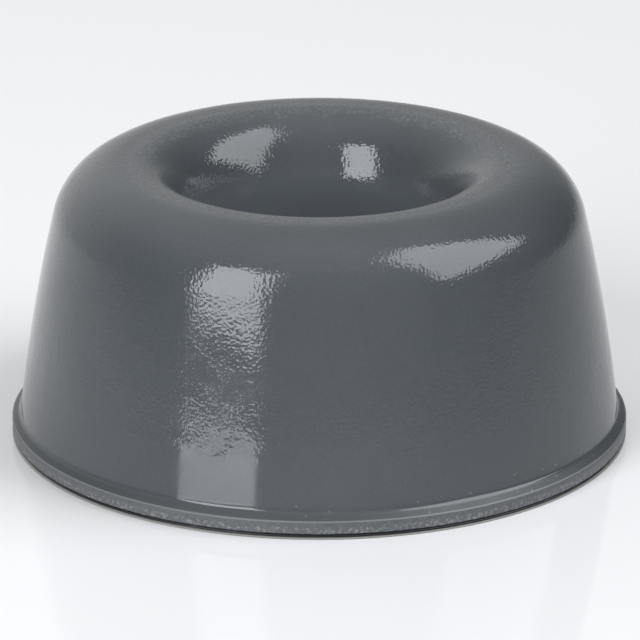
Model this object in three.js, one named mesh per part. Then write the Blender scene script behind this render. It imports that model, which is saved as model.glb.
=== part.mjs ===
// A self-adhesive bumper foot: a round, recessed foot of moulded polyurethane on a double-coated
// adhesive tape, with the release liner still on it.
// Millimetres, +Z up. The origin is at the centre of the liner's underside, which the foot stands on.
import * as THREE from "three";

// The base. Flange, tape and liner are die-cut together, so they share one outline.
const base_diameter = 22.3;
const liner_thickness = 0.05;
const lower_adhesive_thickness = 0.06;
const carrier_thickness = 0.03;
const upper_adhesive_thickness = 0.06;
const adhesive_set_back = 0.05; // the soft adhesive draws back from the cut
const carrier_set_back = 0.02;

// The moulding, from the flange up to the rim. The height counts from the adhesive's outer face.
const fitted_height = 10.1;
const flange_slope = 40; // degrees its top falls from the cove to the cut edge
const flange_edge_round = 0.05;
const wall_set_back = 0.33; // from the flange's edge in to the foot of the wall
const wall_foot_height = 0.76; // from the flange's underside
const cove_radius = 0.16;
const belly_radius = 67; // the wall swells this gently
const shoulder_radius = 2.53;
const rim_diameter = 13.7; // across the middle of the rim's flat
const rim_flat_width = 0.5;

// The recess, from the rim down: a lip that steepens as it falls, a drafted wall, a flat floor.
const lip_run = 2.25;
const lip_drop = 3.4;
const wall_draft = 7; // degrees
const recess_depth = 6.0;
const floor_fillet_radius = 1.2;

// Facets round the foot, and along the curves of its outline.
const round_facets = 80;
const wall_facets = 6;
const degrees_per_facet = 12;
const edge_facets = 4;

// Levels of the layers, from the standing face up.
const lower_adhesive_z = liner_thickness;
const carrier_z = lower_adhesive_z + lower_adhesive_thickness;
const upper_adhesive_z = carrier_z + carrier_thickness;
const moulding_z = upper_adhesive_z + upper_adhesive_thickness;
const wall_foot_z = moulding_z + wall_foot_height;
const rim_z = lower_adhesive_z + fitted_height;
const floor_z = rim_z - recess_depth;

const base_radius = base_diameter / 2;
const rim_outer_radius = (rim_diameter + rim_flat_width) / 2;
const rim_inner_radius = (rim_diameter - rim_flat_width) / 2;

const point = (r, z) => new THREE.Vector2(r, z);
const radians = THREE.MathUtils.degToRad;
const degrees = THREE.MathUtils.radToDeg;

// The points of an arc from one angle to another, in degrees from level, both ends included.
// A second radius makes it elliptical: the first is its half width, the second its half height.
function arc(centre, radius, from, to, facets, half_height = radius) {
  return Array.from({ length: facets + 1 }, (_, i) => {
    const angle = radians(from + ((to - from) * i) / facets);
    return point(centre.x + radius * Math.cos(angle), centre.y + half_height * Math.sin(angle));
  });
}

const facets_over = (angle) => Math.ceil(Math.abs(angle) / degrees_per_facet);

// A closed outline of radius and height, turned about the Z axis.
function turned(name, outline, material) {
  const geometry = new THREE.LatheGeometry(outline, round_facets);
  geometry.rotateX(Math.PI / 2);
  const mesh = new THREE.Mesh(geometry, material);
  mesh.name = name;
  return mesh;
}

// One layer of the tape: a disc.
function layer(name, radius, bottom_z, top_z, material) {
  const outline = [point(0, bottom_z), point(radius, bottom_z), point(radius, top_z), point(0, top_z)];
  return turned(name, outline, material);
}

// The outside of the moulding, from the flange's edge up to the rim's flat.
// The wall is one long arc that starts at its foot and runs smoothly into the shoulder.
function outside() {
  const foot = point(base_radius - wall_set_back, wall_foot_z);
  const shoulder = point(rim_outer_radius, rim_z - shoulder_radius);

  // The belly's centre lies one belly radius from the foot. The shoulder touches the belly from
  // inside, so that centre lies the shoulder's radius less from the shoulder's centre.
  const span = shoulder.clone().sub(foot);
  const gap = span.length();
  const reach = belly_radius - shoulder_radius;
  const along = (belly_radius ** 2 - reach ** 2 + gap ** 2) / (2 * gap);
  const aside = Math.sqrt(belly_radius ** 2 - along ** 2);
  span.normalize();
  const belly = point(foot.x + along * span.x - aside * span.y, foot.y + along * span.y + aside * span.x);
  const foot_angle = degrees(Math.atan2(foot.y - belly.y, foot.x - belly.x));
  const shoulder_angle = degrees(Math.atan2(shoulder.y - belly.y, shoulder.x - belly.x));

  // The cove turns from the wall to the flange's sloping top. The cut edge's round touches that
  // slope, which sets the height of the edge.
  const top_angle = 90 - flange_slope;
  const cove = foot.clone().add(arc(point(0, 0), cove_radius, foot_angle, foot_angle, 1)[0]);
  const edge_r = base_radius - flange_edge_round;
  const rise = (cove.x - edge_r) * Math.cos(radians(top_angle)) - cove_radius - flange_edge_round;
  const edge = point(edge_r, cove.y + rise / Math.sin(radians(top_angle)));
  return [
    ...arc(edge, flange_edge_round, 0, top_angle, edge_facets),
    ...arc(cove, cove_radius, top_angle - 180, foot_angle - 180, edge_facets),
    ...arc(belly, belly_radius, foot_angle, shoulder_angle, wall_facets).slice(1),
    ...arc(shoulder, shoulder_radius, shoulder_angle, 90, facets_over(90 - shoulder_angle)).slice(1),
  ];
}

// The recess, from the rim's flat down to the middle of its floor.
function inside() {
  // The lip is part of an ellipse, and stops where it is as steep as the drafted wall.
  const lip = point(rim_inner_radius, rim_z - lip_drop);
  const draft = radians(wall_draft);
  const lip_end = 180 - degrees(Math.atan((lip_drop / lip_run) * Math.tan(draft)));
  const lip_points = arc(lip, lip_run, 90, lip_end, facets_over(lip_end - 90), lip_drop);

  // The wall leans in by its draft down to the fillet, which touches both wall and floor.
  const wall_top = lip_points.at(-1);
  const wall_end_z = floor_z + floor_fillet_radius * (1 - Math.sin(draft));
  const wall_end_r = wall_top.x - (wall_top.y - wall_end_z) * Math.tan(draft);
  const fillet = point(wall_end_r - floor_fillet_radius * Math.cos(draft), floor_z + floor_fillet_radius);
  return [
    ...lip_points,
    ...arc(fillet, floor_fillet_radius, -wall_draft, -90, facets_over(90 - wall_draft)),
    point(0, floor_z),
  ];
}

const polyurethane = new THREE.MeshStandardMaterial({ color: 0x666b6f, roughness: 0.3, metalness: 0 });
const adhesive = new THREE.MeshStandardMaterial({ color: 0x2e2d2a, roughness: 0.6, metalness: 0 });
const carrier = new THREE.MeshStandardMaterial({ color: 0x8f9396, roughness: 0.4, metalness: 0 });
const liner = new THREE.MeshStandardMaterial({ color: 0xd8d6cf, roughness: 0.5, metalness: 0 });

const underside = [point(0, moulding_z), point(base_radius, moulding_z)];
const adhesive_radius = base_radius - adhesive_set_back;
const foot = new THREE.Group();
foot.name = "bumper_foot";
foot.add(
  turned("bumper_body", [...underside, ...outside(), ...inside()], polyurethane),
  layer("upper_adhesive_coat", adhesive_radius, upper_adhesive_z, moulding_z, adhesive),
  layer("carrier_film", base_radius - carrier_set_back, carrier_z, upper_adhesive_z, carrier),
  layer("lower_adhesive_coat", adhesive_radius, lower_adhesive_z, carrier_z, adhesive),
  layer("release_liner", base_radius, 0, lower_adhesive_z, liner),
);

export default foot;
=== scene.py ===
"""A self-adhesive bumper foot of moulded polyurethane, and a studio to see it in.

The foot is built over its CAD frame, in metres, with +Z up.
"""

import math

import bpy
import numpy as np
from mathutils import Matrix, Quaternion, Vector, noise


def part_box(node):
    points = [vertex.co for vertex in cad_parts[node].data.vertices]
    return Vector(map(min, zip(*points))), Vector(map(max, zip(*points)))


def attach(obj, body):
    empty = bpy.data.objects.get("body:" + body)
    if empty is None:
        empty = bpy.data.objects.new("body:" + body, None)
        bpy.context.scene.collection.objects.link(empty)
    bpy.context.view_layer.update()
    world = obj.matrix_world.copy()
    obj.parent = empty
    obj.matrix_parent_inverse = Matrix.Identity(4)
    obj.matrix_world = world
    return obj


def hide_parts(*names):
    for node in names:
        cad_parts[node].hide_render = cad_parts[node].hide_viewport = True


bl_info = {
    "name": "Bumper Foot",
    "version": (1, 0, 0),
    "blender": (4, 5, 0),
    "location": "3D Viewport > Sidebar > Bumper Foot",
    "description": "Makes a self-adhesive bumper foot with its tape and liner, and a studio round it",
    "category": "Add Mesh",
}

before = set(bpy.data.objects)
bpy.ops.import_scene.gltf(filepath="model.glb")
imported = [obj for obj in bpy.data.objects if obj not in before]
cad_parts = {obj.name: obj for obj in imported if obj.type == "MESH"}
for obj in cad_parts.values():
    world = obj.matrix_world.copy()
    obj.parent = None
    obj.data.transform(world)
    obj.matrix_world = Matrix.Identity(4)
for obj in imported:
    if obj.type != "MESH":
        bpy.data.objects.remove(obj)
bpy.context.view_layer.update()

MM = 0.001
DAYLIGHT = (0.975, 0.995, 1.035)  # the softboxes' light, a touch cooler than white
BODY_LOW, BODY_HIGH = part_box("bumper_body")


# ---------------------------------------------------------------- sizes and colours


def length(name, description, default_mm, low_mm=0.001, high_mm=1000.0):
    """A length that a user can set, kept in metres."""
    return bpy.props.FloatProperty(
        name=name,
        description=description,
        default=default_mm * MM,
        min=low_mm * MM,
        max=high_mm * MM,
        unit="LENGTH",
        precision=5,
    )


def hex_colour(name, description, default):
    """A colour that a user can set, as an sRGB hex value such as 6a6f73."""
    return bpy.props.StringProperty(name=name, description=description, default=default, maxlen=6)


class FootMouldingSettings(bpy.types.PropertyGroup):
    """Sizes and colours of the polyurethane moulding."""

    flange_slope: bpy.props.FloatProperty(
        name="Flange slope",
        description="Fall of the flange's top from the cove to the cut edge",
        default=math.radians(40),
        subtype="ANGLE",
    )
    flange_edge_round: length("Flange edge round", "Round on the flange's top edge", 0.05)
    wall_set_back: length("Wall set-back", "From the flange's edge in to the wall's foot", 0.33)
    wall_foot_height: length("Wall foot height", "From the flange's underside to the wall's foot", 0.76)
    cove_radius: length("Cove radius", "Hollow between flange and wall", 0.16)
    belly_radius: length("Belly radius", "Radius of the wall's gentle swell, seen from the side", 67)
    shoulder_radius: length("Shoulder radius", "Round from the wall over to the rim", 2.53)
    rim_diameter: length("Rim diameter", "Across the middle of the rim's flat", 13.7)
    rim_flat_width: length("Rim flat width", "Width of the ring the foot stands on in use", 0.5)
    lip_run: length("Lip run", "How far the recess's lip reaches inwards", 2.25)
    lip_drop: length("Lip drop", "How far the recess's lip falls", 3.4)
    wall_draft: bpy.props.FloatProperty(
        name="Recess draft",
        description="Lean of the recess's wall, for release from the mould",
        default=math.radians(7),
        subtype="ANGLE",
    )
    recess_depth: length("Recess depth", "From the rim to the recess's floor", 6.0)
    floor_fillet_radius: length("Floor fillet radius", "Round between the recess's wall and floor", 1.2)
    peel_pitch: length("Orange peel pitch", "Spacing of the dimples in the moulded skin", 0.42)
    peel_depth: length("Orange peel depth", "Height of the dimples", 0.0028, 0.0)
    tear_pitch: length("Cut tear pitch", "Spacing of the torn grain on the die-cut edge", 0.16)
    tear_depth: length("Cut tear depth", "Depth of the torn grain on the die-cut edge", 0.02, 0.0)
    facets: bpy.props.IntProperty(
        name="Facets", description="Facets round the foot", default=720, min=48, max=1440
    )
    colour: hex_colour("Colour", "Grey of the moulded skin", "4b4f52")
    scuffed_colour: hex_colour("Scuffed colour", "Grey of the matte crest and of cut faces", "5e6061")
    # This colour also paints the pale line along the cut's top corner, a painted highlight.
    speck_and_highlight_colour: hex_colour("Dust colour", "Specks of dust and torn grain", "94979a")


class TapeSettings(bpy.types.PropertyGroup):
    """Sizes and colours of the adhesive tape and its liner."""

    edge_pitch: length("Edge pitch", "Spacing of the wander along the tape's cut edge", 0.9)
    edge_wander: length("Edge wander", "How far the tape's cut edge wanders inwards", 0.03, 0.0)
    facets: bpy.props.IntProperty(
        name="Facets", description="Facets round each layer", default=540, min=48, max=1440
    )
    # The adhesive's near-black is partly painted shade of the tape's thin edge under the flange.
    adhesive_colour: hex_colour("Adhesive colour", "Colour of both coats of adhesive", "1d1d20")
    carrier_colour: hex_colour("Carrier colour", "Colour of the film between the coats", "2c2d30")
    # The liner's grey is pale paper darkened as painted shade, for its edge in the contact shadow under
    # the foot.
    liner_shaded_colour: hex_colour("Liner colour", "Colour of the coated paper liner", "8c8b87")


class StudioSettings(bpy.types.PropertyGroup):
    """The camera, lights and floor."""

    camera_distance: length("Camera distance", "From the camera to the foot", 207)
    camera_elevation: bpy.props.FloatProperty(
        name="Camera elevation",
        description="Height of the camera above the horizon",
        default=math.radians(19.45),
        subtype="ANGLE",
    )
    focal_length: bpy.props.FloatProperty(
        name="Focal length", description="Camera's focal length in millimetres", default=322.5
    )
    near_softbox_radiance: bpy.props.FloatProperty(
        name="Near softbox", description="Brightness of the softbox beside the camera", default=6.9
    )
    side_softbox_radiance: bpy.props.FloatProperty(
        name="Side softbox", description="Brightness of the tall softbox on the right", default=4.1
    )
    near_distance: length("Near softbox distance", "From the foot to the near softbox", 500)
    side_distance: length("Side softbox distance", "Sets the side softbox's place and size", 600)
    back_brightness: bpy.props.FloatProperty(
        name="Back", description="Brightness of the pale backdrop behind the foot", default=0.8
    )
    front_brightness: bpy.props.FloatProperty(
        name="Front", description="Brightness of the room behind the camera", default=0.35
    )
    top_brightness: bpy.props.FloatProperty(
        name="Top", description="Brightness of the ceiling", default=0.75
    )
    floor_colour: hex_colour("Floor colour", "Colour of the polished table", "f4f4f4")


# ---------------------------------------------------------------- colours and nodes

# Settings that many nodes share.
SMOOTH = {"interpolation_type": "SMOOTHSTEP"}
TIMES = {"operation": "MULTIPLY"}
PLUS = {"operation": "ADD"}
LARGER = {"operation": "MAXIMUM"}
COLOURS = {"data_type": "RGBA", "output": 2}


def linear(colour_hex):
    """An sRGB hex colour as linear red, green, blue and alpha."""
    srgb = [int(colour_hex[i : i + 2], 16) / 255 for i in (0, 2, 4)]
    return [c / 12.92 if c <= 0.04045 else ((c + 0.055) / 1.055) ** 2.4 for c in srgb] + [1.0]


def shade(colour, factor):
    """A linear colour made lighter or darker."""
    return [min(1, c * factor) for c in colour[:3]] + [1]


def add_node(tree, kind, inputs=(), output=0, **settings):
    """Adds a node and gives one of its outputs.

    inputs are values, or the sockets they come from, in order or keyed by name or index.
    """
    node = tree.nodes.new("ShaderNode" + kind)
    for name, value in settings.items():
        setattr(node, name, value)
    for key, value in inputs.items() if isinstance(inputs, dict) else enumerate(inputs):
        if isinstance(value, bpy.types.NodeSocket):
            tree.links.new(value, node.inputs[key])
        else:
            node.inputs[key].default_value = value
    return node.outputs[output]


def new_material(name):
    """An empty material, with its node tree and the input that its shader joins."""
    material = bpy.data.materials.new(name)
    material.use_nodes = True
    tree = material.node_tree
    tree.nodes.clear()
    output = tree.nodes.new("ShaderNodeOutputMaterial")
    return material, tree, output.inputs["Surface"]


def place_radius_and_height(tree):
    """The place, its distance from the foot's axis and its height off the liner's underside."""
    place = add_node(tree, "TexCoord", output="Object")
    flat = add_node(tree, "VectorMath", (place, (1, 1, 0)), **TIMES)
    radius = add_node(tree, "VectorMath", (flat,), "Value", operation="LENGTH")
    height = add_node(tree, "SeparateXYZ", (place,), "Z")
    return place, radius, height


# ---------------------------------------------------------------- turned meshes


def arc(centre, radius, start, end, step, half_height=None):
    """Points of an arc, about step apart, both ends included. half_height makes it elliptical."""
    tall = half_height or radius
    count = max(2, math.ceil(abs(end - start) * max(radius, tall) / step))
    angles = np.linspace(start, end, count + 1)
    return [(centre[0] + radius * math.cos(a), centre[1] + tall * math.sin(a)) for a in angles]


def stretch(start, end, step):
    """Points of a straight line, about step apart, without its ends."""
    count = max(1, math.ceil(math.dist(start, end) / step))
    return [
        tuple(np.add(start, np.subtract(end, start) * i / count)) for i in range(1, count)
    ]


def turn(name, outline, facets, relief, material):
    """Turns an outline of radius and height about the axis, its first and last points on the axis.

    relief gives how far each point is sunk below the outline, from its place, radius and height.
    """
    rings = np.array(outline[1:-1])
    along = np.gradient(rings, axis=0)
    along /= np.linalg.norm(along, axis=1)[:, None]
    outward = np.column_stack((along[:, 1], -along[:, 0]))

    corners = [(0, 0, outline[0][1])]
    angles = [2 * math.pi * i / facets for i in range(facets)]
    for (r, z), (out_r, out_z) in zip(rings, outward):
        for angle in angles:
            c, s = math.cos(angle), math.sin(angle)
            sunk = relief(Vector((r * c, r * s, z)), r, z)
            reach = r - sunk * out_r
            corners.append((reach * c, reach * s, z - sunk * out_z))
    corners.append((0, 0, outline[-1][1]))

    last = len(corners) - 1
    faces = []
    for i in range(facets):
        j = (i + 1) % facets
        faces.append((0, 1 + j, 1 + i))
        for ring in range(len(rings) - 1):
            a = 1 + ring * facets
            b = a + facets
            faces.append((a + i, a + j, b + j, b + i))
        a = last - facets
        faces.append((a + i, a + j, last))

    mesh = bpy.data.meshes.new(name)
    mesh.from_pydata(corners, [], faces)
    mesh.shade_smooth()
    mesh.materials.append(material)
    piece = bpy.data.objects.new(name, mesh)
    bpy.context.scene.collection.objects.link(piece)
    return piece


def fade(value, start, end):
    """A smooth step from 0 at start to 1 at end."""
    t = min(1.0, max(0.0, (value - start) / (end - start)))
    return t * t * (3 - 2 * t)


# ---------------------------------------------------------------- the moulding


def moulding_outline(size):
    """Radius and height of the moulding's skin, from under the flange up over the rim and down.

    Also gives the height that the flange's cut edge ends at.
    """
    base_r, base_z, rim_z = BODY_HIGH.x, BODY_LOW.z, BODY_HIGH.z
    foot = Vector((base_r - size.wall_set_back, base_z + size.wall_foot_height))
    rim_outer = (size.rim_diameter + size.rim_flat_width) / 2
    rim_inner = (size.rim_diameter - size.rim_flat_width) / 2
    shoulder = Vector((rim_outer, rim_z - size.shoulder_radius))

    # The belly's arc starts at the wall's foot and touches the shoulder's from outside.
    span = shoulder - foot
    gap = span.length
    reach = size.belly_radius - size.shoulder_radius
    ahead = (size.belly_radius**2 - reach**2 + gap**2) / (2 * gap)
    aside = math.sqrt(size.belly_radius**2 - ahead**2)
    span.normalize()
    belly = foot + span * ahead + Vector((-span.y, span.x)) * aside
    foot_angle = math.atan2(foot.y - belly.y, foot.x - belly.x)
    shoulder_angle = math.atan2(shoulder.y - belly.y, shoulder.x - belly.x)

    # The cove turns from the wall to the flange's sloping top, which the edge's round touches.
    quarter = math.pi / 2
    rounding = size.flange_edge_round
    tilt = quarter - size.flange_slope
    cove = foot + size.cove_radius * Vector((math.cos(foot_angle), math.sin(foot_angle)))
    edge_r = base_r - rounding
    rise = (cove.x - edge_r) * math.cos(tilt) - size.cove_radius - rounding
    edge = (edge_r, cove.y + rise / math.sin(tilt))
    edge_step, cut_step, skin_step = 0.03 * MM, 0.05 * MM, 0.14 * MM
    points = [(0, base_z), (base_r * 0.5, base_z), (base_r - cut_step, base_z)]
    points += [(base_r, base_z), *stretch((base_r, base_z), (base_r, edge[1]), cut_step)]
    points += arc(edge, rounding, 0, tilt, edge_step)
    points += arc(cove, size.cove_radius, tilt - math.pi, foot_angle - math.pi, cut_step)
    points += arc(belly, size.belly_radius, foot_angle, shoulder_angle, skin_step)[1:]
    points += arc(shoulder, size.shoulder_radius, shoulder_angle, quarter, skin_step)[1:]
    points += stretch((rim_outer, rim_z), (rim_inner, rim_z), skin_step)

    # The lip's ellipse stops where it is as steep as the drafted wall below it.
    lip_step, fillet_step, wall_step, floor_step = 0.16 * MM, 0.22 * MM, 0.35 * MM, 0.6 * MM
    draft = size.wall_draft
    lip_end = 2 * quarter - math.atan(size.lip_drop / size.lip_run * math.tan(draft))
    lip = (rim_inner, rim_z - size.lip_drop)
    points += arc(lip, size.lip_run, quarter, lip_end, lip_step, size.lip_drop)
    floor_z = rim_z - size.recess_depth
    round_r = size.floor_fillet_radius
    top_r, top_z = points[-1]
    wall_end_z = floor_z + round_r * (1 - math.sin(draft))
    wall_end_r = top_r - (top_z - wall_end_z) * math.tan(draft)
    fillet = (wall_end_r - round_r * math.cos(draft), floor_z + round_r)
    points += stretch(points[-1], (wall_end_r, wall_end_z), wall_step)
    points += arc(fillet, round_r, -draft, -quarter, fillet_step)
    innermost_ring = (0.4 * MM, floor_z)
    points += stretch(points[-1], innermost_ring, floor_step)
    points += [innermost_ring, (0, floor_z)]
    return points, edge[1]


def moulded_polyurethane(size, cut_top):
    """Cast polyurethane elastomer: a glossy mould skin, satin where the crest rubs, dull where cut."""
    material, tree, surface = new_material("Moulded polyurethane")
    place, radius, height = place_radius_and_height(tree)
    base_r, base_z, rim_z = BODY_HIGH.x, BODY_LOW.z, BODY_HIGH.z
    rim_r = size.rim_diameter / 2

    # Patterns, by the width of one patch in millimetres. Real scratches and grain are finer, and are
    # drawn as coarse as they need to show.
    drift, smear, patches, scratches, grain, beads = (
        add_node(tree, "TexNoise", {"Vector": place, "Scale": 1 / (width * MM), "Detail": detail})
        for width, detail in ((3.5, 2), (1.4, 3), (0.9, 4), (0.12, 3), (0.11, 1.5), (0.105, 0.5))
    )
    mote_spacing = 0.34 * MM
    mote = add_node(tree, "TexVoronoi", {"Vector": place, "Scale": 1 / mote_spacing})

    # Handling dulls the crest, from the top of the rim in over the lip. The rub ends unevenly.
    rub_wander = 0.07 * MM
    wander = add_node(tree, "MapRange", (patches, 0.3, 0.7, -rub_wander, rub_wander), **SMOOTH)
    uneven = add_node(tree, "Math", (height, wander), **PLUS)
    top = add_node(tree, "MapRange", (uneven, rim_z - 0.26 * MM, rim_z - 0.04 * MM), **SMOOTH)
    inward = add_node(tree, "MapRange", (radius, rim_r + 0.4 * MM, rim_r - 0.2 * MM), **SMOOTH)
    crest = add_node(tree, "Math", (top, inward), **TIMES)

    # The die-cut edge is torn rather than moulded. Its lower half is the rougher.
    outermost = add_node(tree, "MapRange", (radius, base_r - 0.09 * MM, base_r - 0.05 * MM), **SMOOTH)
    below_corner = add_node(tree, "MapRange", (height, cut_top + 0.05 * MM, cut_top), **SMOOTH)
    cut = add_node(tree, "Math", (outermost, below_corner), **TIMES)
    lower_half = add_node(tree, "MapRange", (height, base_z + 0.29 * MM, base_z + 0.2 * MM), **SMOOTH)
    torn = add_node(tree, "Math", (cut, lower_half), **TIMES)

    # The mould's parting face forms the flange's top, which is satin. Its colour is darkened as painted
    # shade, against the light from above that its sloping top catches.
    flange_top = add_node(tree, "MapRange", (radius, base_r - 0.27 * MM, base_r - 0.2 * MM), **SMOOTH)

    # A pale line is painted along the top corner of the cut: a painted highlight, where the corner
    # catches the light.
    corner_z = add_node(tree, "MapRange", (height, cut_top + 0.01 * MM, cut_top + 0.03 * MM), **SMOOTH)
    corner_r = add_node(tree, "MapRange", (radius, base_r - 0.06 * MM, base_r - 0.035 * MM), **SMOOTH)
    cut_top_corner = add_node(tree, "Math", (corner_z, corner_r), **TIMES)

    # Colour: the pigment drifts slightly over a few millimetres, and is finely grained.
    skin = linear(size.colour)
    mottle = add_node(tree, "Math", (drift, grain), **PLUS)
    mottle = add_node(tree, "Math", (mottle, 0.5), **TIMES)
    pigment = add_node(tree, "Mix", {0: mottle, 6: shade(skin, 0.8), 7: shade(skin, 1.2)}, **COLOURS)
    # Painted shade: the flange's top is darkened to 0.72 of the skin's grey.
    pigment = add_node(tree, "Mix", {0: flange_top, 6: pigment, 7: shade(skin, 0.72)}, **COLOURS)

    # Painted light: the recess's wall and floor are lightened to half as bright again as the skin,
    # standing in for light that reaches deep into the recess.
    deep = add_node(tree, "MapRange", (height, rim_z - 1.0 * MM, rim_z - 2.8 * MM), **SMOOTH)
    inside = add_node(tree, "MapRange", (radius, rim_r, rim_r - 0.3 * MM), **SMOOTH)
    recess_painted_light = add_node(tree, "Math", (deep, inside), **TIMES)
    pigment = add_node(tree, "Mix", {0: recess_painted_light, 6: pigment, 7: shade(skin, 1.5)}, **COLOURS)

    # The cut, and less so the crest, are scuffed pale.
    crest_scuff = add_node(tree, "Math", (crest, 0.35), **TIMES)
    scuffed = add_node(tree, "Math", (crest_scuff, cut), **LARGER)
    streaks = add_node(tree, "MapRange", (scratches, 0.2, 0.75, 0.5, 1.0), **SMOOTH)
    scuffed = add_node(tree, "Math", (scuffed, streaks), **TIMES)
    pale = linear(size.scuffed_colour)
    pigment = add_node(tree, "Mix", {0: scuffed, 6: pigment, 7: pale}, **COLOURS)

    # Specks: torn grain on the cut, the painted highlight along the cut's top corner, and grain that the
    # rubbing of the crest bares.
    torn_grain = add_node(tree, "MapRange", (grain, 0.46, 0.72, 0.0, 0.55), **SMOOTH)
    torn_specks = add_node(tree, "Math", (torn, torn_grain), **TIMES)
    painted_corner_highlight = add_node(tree, "Math", (cut_top_corner, 0.4), **TIMES)
    rubbed_grain = add_node(tree, "MapRange", (grain, 0.45, 0.8, 0.0, 0.3), **SMOOTH)
    rubbed_specks = add_node(tree, "Math", (crest, rubbed_grain), **TIMES)

    # Dust clings round the foot of the wall, in patches.
    low_down = add_node(tree, "MapRange", (height, base_z + 1.7 * MM, base_z + 0.7 * MM), **SMOOTH)
    dusty_side = add_node(tree, "MapRange", (drift, 0.48, 0.66), **SMOOTH)
    dusty = add_node(tree, "Math", (low_down, dusty_side), **TIMES)
    motes = add_node(tree, "MapRange", (mote, 0.17, 0.07, 0.0, 0.45), **SMOOTH)
    specks = add_node(tree, "Math", (dusty, motes), **TIMES)
    for others in (rubbed_specks, painted_corner_highlight, torn_specks):
        specks = add_node(tree, "Math", (specks, others), **LARGER)
    # The pale specks' colour also gives the painted highlight along the cut's top corner.
    pale_specks_and_highlight = linear(size.speck_and_highlight_colour)
    colour = add_node(tree, "Mix", {0: specks, 6: pigment, 7: pale_specks_and_highlight}, **COLOURS)

    # Gloss: near a mirror on the skin, satin on the crest, dull on the cut.
    roughness = add_node(tree, "MapRange", (smear, 0.3, 0.7, 0.07, 0.13), **SMOOTH)
    for finish, dulling in ((crest, 0.18), (flange_top, 0.35), (cut, 0.05)):
        dulled = add_node(tree, "Math", (finish, dulling), **TIMES)
        roughness = add_node(tree, "Math", (roughness, dulled), **PLUS)

    # Beads stand up all over the upper wall, most in drifts. They end unevenly a few millimetres
    # up, where they are boldest, and the skin below them is smooth.
    drifts = add_node(tree, "MapRange", (patches, 0.35, 0.65, 0.55, 1.1), **SMOOTH)
    bead_wander = 0.8 * MM
    wander = add_node(tree, "MapRange", (patches, 0.3, 0.7, -bead_wander, bead_wander), **SMOOTH)
    level = add_node(tree, "Math", (height, wander), **PLUS)
    lowest, lowest_full = base_z + 2.2 * MM, base_z + 3.6 * MM
    up_the_wall = add_node(tree, "MapRange", (level, lowest, lowest_full, 0.03, 1.0), **SMOOTH)
    bold_end, fine_start = base_z + 4.0 * MM, base_z + 5.4 * MM
    wall_beads = add_node(tree, "MapRange", (height, bold_end, fine_start, 1.1, 0.65), **SMOOTH)
    shoulder_start, shoulder_full = base_z + 7.2 * MM, base_z + 8.6 * MM
    shoulder_beads = add_node(
        tree, "MapRange", (height, shoulder_start, shoulder_full, 0.0, 0.5), **SMOOTH
    )
    strength = add_node(tree, "Math", (wall_beads, shoulder_beads), **PLUS)
    beaded = add_node(tree, "Math", (drifts, up_the_wall), **TIMES)
    beaded = add_node(tree, "Math", (beaded, strength), **TIMES)
    beaded = add_node(tree, "Math", (beaded, cut), **LARGER)
    relief = add_node(tree, "Math", (beads, beaded), **TIMES)
    bead_height = 0.009 * MM
    normal = add_node(tree, "Bump", {"Height": relief, "Distance": bead_height, "Strength": 1.0})
    shader = add_node(
        tree,
        "BsdfPrincipled",
        {"Base Color": colour, "Roughness": roughness, "IOR": 1.5, "Normal": normal},
    )
    tree.links.new(shader, surface)
    return material


class FOOT_OT_moulding(bpy.types.Operator):
    """Make the polyurethane moulding: flange, wall, rim and recess"""

    bl_idname = "bumper_foot.moulding"
    bl_label = "Moulding"
    bl_options = {"REGISTER", "UNDO"}

    def execute(self, context):
        size = context.scene.foot_moulding
        outline, cut_top = moulding_outline(size)
        base_z = BODY_LOW.z
        torn_high, torn_low = base_z + 0.28 * MM, base_z + 0.18 * MM
        peel_low, peel_high = base_z + 3.6 * MM, base_z + 5.2 * MM
        plain_floor_r = 4 * MM

        def relief(place, r, z):
            """Torn grain on the cut edge, most at its bottom. Orange peel on the skin, most high up."""
            if r > BODY_HIGH.x - size.flange_edge_round:
                torn = 0.25 + 0.75 * fade(z, torn_high, torn_low)
                return size.tear_depth * torn * (0.5 + 0.5 * noise.noise(place / size.tear_pitch))
            if r < plain_floor_r or z < cut_top:
                return 0.0
            peel = 0.2 + 0.8 * fade(z, peel_low, peel_high)
            return size.peel_depth * peel * (0.5 + 0.5 * noise.noise(place / size.peel_pitch))

        material = moulded_polyurethane(size, cut_top)
        piece = turn("foot_moulding", outline, size.facets, relief, material)
        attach(piece, "foot")
        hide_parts("bumper_body")
        return {"FINISHED"}


# ---------------------------------------------------------------- the tape and liner


def layer_outline(node, drawn_in):
    """A thin disc, a third of its thickness drawn in at top and bottom of the edge."""
    low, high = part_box(node)
    third = (high.z - low.z) / 3
    r = high.x
    flat_r = r - drawn_in - 0.2 * MM
    return [
        (0, low.z),
        (r * 0.5, low.z),
        (flat_r, low.z),
        (r - drawn_in, low.z),
        (r, low.z + third),
        (r, high.z - third),
        (r - drawn_in, high.z),
        (flat_r, high.z),
        (r * 0.5, high.z),
        (0, high.z),
    ]


def make_layer(name, node, drawn_in, wander, seed, size, material):
    """One thin layer, with a cut edge that wanders inwards a little. seed varies the wander."""
    outline = layer_outline(node, drawn_in)
    edge_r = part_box(node)[1].x - drawn_in - 0.01 * MM
    finer = 5

    def relief(place, r, z):
        if r < edge_r:
            return 0.0
        along = Vector((place.x, place.y, seed)) / size.edge_pitch
        coarse = 0.5 + 0.5 * noise.noise(along)
        fine = 0.5 + 0.5 * noise.noise(along * finer)
        return wander * (0.6 * coarse + 0.4 * fine)

    return turn(name, outline, size.facets, relief, material)


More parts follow.
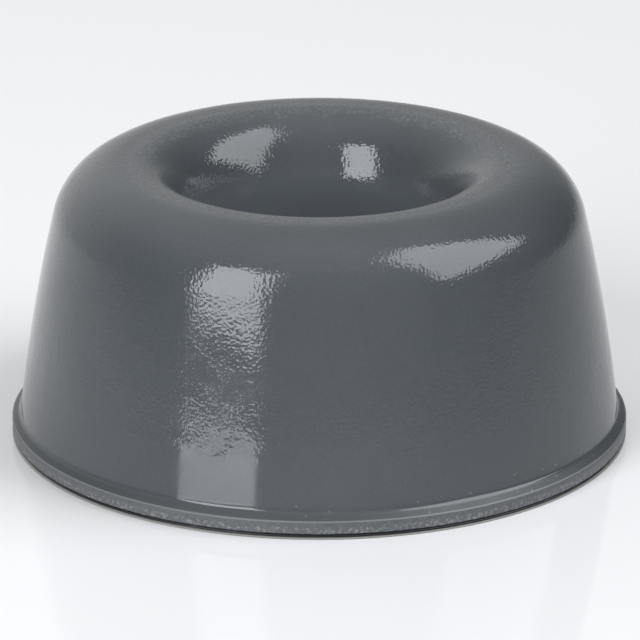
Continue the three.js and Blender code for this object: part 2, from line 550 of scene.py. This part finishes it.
def plain_layer_material(name, colour_hex, roughness, grain_mm, depth_mm, tint):
    """A flat sheet's material. Its grain shows in its colour, by tint, and its gloss and height."""
    material, tree, surface = new_material(name)
    place = add_node(tree, "TexCoord", output="Object")
    grain = add_node(
        tree, "TexNoise", {"Vector": place, "Scale": 1 / (grain_mm * MM), "Detail": 4.0}
    )
    base = linear(colour_hex)
    darker, lighter = shade(base, 1 - tint), shade(base, 1 + tint)
    colour = add_node(tree, "Mix", {0: grain, 6: darker, 7: lighter}, **COLOURS)
    gloss = add_node(
        tree, "MapRange", (grain, 0.3, 0.7, roughness * 0.8, roughness * 1.2), **SMOOTH
    )
    normal = add_node(
        tree, "Bump", {"Height": grain, "Distance": depth_mm * MM, "Strength": 1.0}
    )
    shader = add_node(
        tree,
        "BsdfPrincipled",
        {"Base Color": colour, "Roughness": gloss, "IOR": 1.48, "Normal": normal},
    )
    tree.links.new(shader, surface)
    return material


class FOOT_OT_tape(bpy.types.Operator):
    """Make the double-coated tape: adhesive, carrier film, adhesive"""

    bl_idname = "bumper_foot.tape"
    bl_label = "Adhesive tape"
    bl_options = {"REGISTER", "UNDO"}

    def execute(self, context):
        size = context.scene.foot_tape
        # Coated rubber adhesive: tacky, with the soft 0.7 mm ripple the coater leaves. Its near-black
        # stands for the coat's own darker tone together with painted shade of the tape's thin edge under
        # the flange.
        adhesive = plain_layer_material(
            "Coated rubber adhesive",
            size.adhesive_colour,
            roughness=0.5,
            grain_mm=0.7,
            depth_mm=0.01,
            tint=0.2,
        )
        # Extruded polyester film: smooth and dark, with a slight sheen.
        film = plain_layer_material(
            "Polyester carrier film",
            size.carrier_colour,
            roughness=0.3,
            grain_mm=1.5,
            depth_mm=0.002,
            tint=0.1,
        )
        for name, node, drawn_in, wander, seed, material in (
            ("tape_upper_adhesive", "upper_adhesive_coat", 0.015 * MM, size.edge_wander, 0.0, adhesive),
            ("tape_carrier_film", "carrier_film", 0.004 * MM, size.edge_wander / 3, 0.01, film),
            ("tape_lower_adhesive", "lower_adhesive_coat", 0.015 * MM, size.edge_wander, 0.02, adhesive),
        ):
            piece = make_layer(name, node, drawn_in, wander, seed, size, material)
            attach(piece, "foot")
            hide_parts(node)
        return {"FINISHED"}


class FOOT_OT_liner(bpy.types.Operator):
    """Make the release liner that the foot stands on until it is used"""

    bl_idname = "bumper_foot.liner"
    bl_label = "Release liner"
    bl_options = {"REGISTER", "UNDO"}

    def execute(self, context):
        size = context.scene.foot_tape
        # Silicone-coated kraft paper, with a slight sheen over fibres drawn 0.25 mm wide, which is
        # coarser than real ones, so that they show. Its pale paper is darkened to mid grey as painted
        # shade, for its edge in the contact shadow under the foot.
        paper = plain_layer_material(
            "Silicone-coated paper",
            size.liner_shaded_colour,
            roughness=0.42,
            grain_mm=0.25,
            depth_mm=0.006,
            tint=0.06,
        )
        piece = make_layer(
            "release_liner_paper",
            "release_liner",
            drawn_in=0.004 * MM,
            wander=0.01 * MM,
            seed=0.03,
            size=size,
            material=paper,
        )
        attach(piece, "liner")
        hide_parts("release_liner")
        return {"FINISHED"}


# ---------------------------------------------------------------- the studio


def softbox(name, centre, facing, width, height, roll, radiance):
    """A rectangular softbox at centre, turned to face a point, radiance times as bright as white."""
    lamp = bpy.data.lights.new(name, "AREA")
    lamp.shape = "RECTANGLE"
    lamp.size, lamp.size_y = width, height
    lamp.energy = radiance * math.pi * width * height
    lamp.color = DAYLIGHT
    holder = bpy.data.objects.new(name, lamp)
    holder.location = centre
    aim = (Vector(facing) - Vector(centre)).to_track_quat("-Z", "Y")
    holder.rotation_mode = "QUATERNION"
    holder.rotation_quaternion = aim @ Quaternion((0, 0, 1), roll)
    holder.visible_camera = False
    bpy.context.scene.collection.objects.link(holder)
    return holder


def soft_surround(glows):
    """A surround that is brightest towards each of a few directions and fades out smoothly round it."""
    world = bpy.data.worlds.new("Soft surround")
    world.use_nodes = True
    tree = world.node_tree
    background = tree.nodes["Background"]
    background.inputs["Color"].default_value = (1, 1, 1, 1)
    outward = add_node(tree, "TexCoord", output="Generated")
    falloff = 3.0
    total = None
    for direction, brightness in glows:
        aim = Vector(direction).normalized()
        towards = add_node(tree, "VectorMath", (outward, aim), "Value", operation="DOT_PRODUCT")
        towards = add_node(tree, "Math", (towards, 0.0), **LARGER)
        glow = add_node(tree, "Math", (towards, falloff), operation="POWER")
        glow = add_node(tree, "Math", (glow, brightness), **TIMES)
        total = add_node(tree, "Math", (total, glow), **PLUS) if total else glow
    tree.links.new(total, background.inputs["Strength"])
    return world


class FOOT_OT_studio(bpy.types.Operator):
    """Make the camera, softboxes, white surround and polished table"""

    bl_idname = "bumper_foot.studio"
    bl_label = "Studio"
    bl_options = {"REGISTER", "UNDO"}

    def execute(self, context):
        studio = context.scene.foot_studio
        scene = context.scene

        eye = bpy.data.cameras.new("Studio camera")
        eye.lens, eye.sensor_width = studio.focal_length, 36
        eye.clip_start, eye.clip_end = 0.01, 10
        camera = bpy.data.objects.new("Studio camera", eye)
        centre = Vector((0, 0, 5 * MM))
        up = studio.camera_elevation
        camera.location = centre + studio.camera_distance * Vector((0, -math.cos(up), math.sin(up)))
        look_at = Vector((0.025 * MM, 0, 4.08 * MM))
        camera.rotation_euler = (look_at - camera.location).to_track_quat("-Z", "Y").to_euler()
        scene.collection.objects.link(camera)
        scene.camera = camera

        # Two upright softboxes: one left of the camera, a taller one close on the right. Their
        # places, widths and heights are shares of their distances.
        near, side = studio.near_distance, studio.side_distance
        turn_left = math.radians(38.3)
        near_centre = Vector((-math.sin(turn_left), -math.cos(turn_left), 0.576)) * near
        facing = (0, 0, near_centre.z)
        brightness = studio.near_softbox_radiance
        softbox("Near softbox", near_centre, facing, 0.53 * near, 1.028 * near, 0, brightness)
        side_centre = Vector((0.525, -0.169, 0.843)) * side
        facing = (0, side_centre.y, side_centre.z)
        roll = math.radians(6)
        brightness = studio.side_softbox_radiance
        softbox("Side softbox", side_centre, facing, 0.56 * side, 1.19 * side, roll, brightness)

        scene.world = soft_surround(
            (
                ((-0.5, 0.86, 0.1), studio.back_brightness),
                ((0, -1, 0), studio.front_brightness),
                ((0, 0, 1), studio.top_brightness),
            )
        )

        # Cast acrylic sheet, polished: white, and a faint mirror of what stands on it.
        material, tree, surface = new_material("Polished white acrylic")
        white = linear(studio.floor_colour)
        shader = add_node(
            tree, "BsdfPrincipled", {"Base Color": white, "Roughness": 0.03, "IOR": 1.49}
        )
        tree.links.new(shader, surface)
        half = 2.0
        level = -0.01 * MM
        mesh = bpy.data.meshes.new("Table")
        mesh.from_pydata(
            [(-half, -half, level), (half, -half, level), (half, half, level), (-half, half, level)],
            [],
            [(0, 1, 2, 3)],
        )
        mesh.materials.append(material)
        table = bpy.data.objects.new("Table", mesh)
        scene.collection.objects.link(table)
        scene.view_settings.view_transform = "Standard"
        return {"FINISHED"}


# ---------------------------------------------------------------- panel and registration


class FOOT_PT_panel(bpy.types.Panel):
    """Lists the foot's pieces and the studio"""

    bl_label = "Bumper Foot"
    bl_idname = "FOOT_PT_panel"
    bl_space_type = "VIEW_3D"
    bl_region_type = "UI"
    bl_category = "Bumper Foot"

    def draw(self, context):
        layout = self.layout
        for operator, settings in STEPS:
            box = layout.box()
            box.operator(operator.bl_idname)
            if settings:
                group = getattr(context.scene, settings)
                for name in group.bl_rna.properties.keys():
                    if name not in ("rna_type", "name"):
                        box.prop(group, name)


SETTINGS = {
    "foot_moulding": FootMouldingSettings,
    "foot_tape": TapeSettings,
    "foot_studio": StudioSettings,
}
STEPS = (
    (FOOT_OT_studio, "foot_studio"),
    (FOOT_OT_moulding, "foot_moulding"),
    (FOOT_OT_tape, "foot_tape"),
    (FOOT_OT_liner, None),
)
CLASSES = (*SETTINGS.values(), *(operator for operator, _ in STEPS), FOOT_PT_panel)


def register():
    for cls in CLASSES:
        bpy.utils.register_class(cls)
    for name, group in SETTINGS.items():
        setattr(bpy.types.Scene, name, bpy.props.PointerProperty(type=group))


def unregister():
    for name in SETTINGS:
        delattr(bpy.types.Scene, name)
    for cls in reversed(CLASSES):
        bpy.utils.unregister_class(cls)


def main():
    register()
    for operator, _ in STEPS:
        package, name = operator.bl_idname.split(".")
        getattr(getattr(bpy.ops, package), name)()


if __name__ == "__main__":
    main()
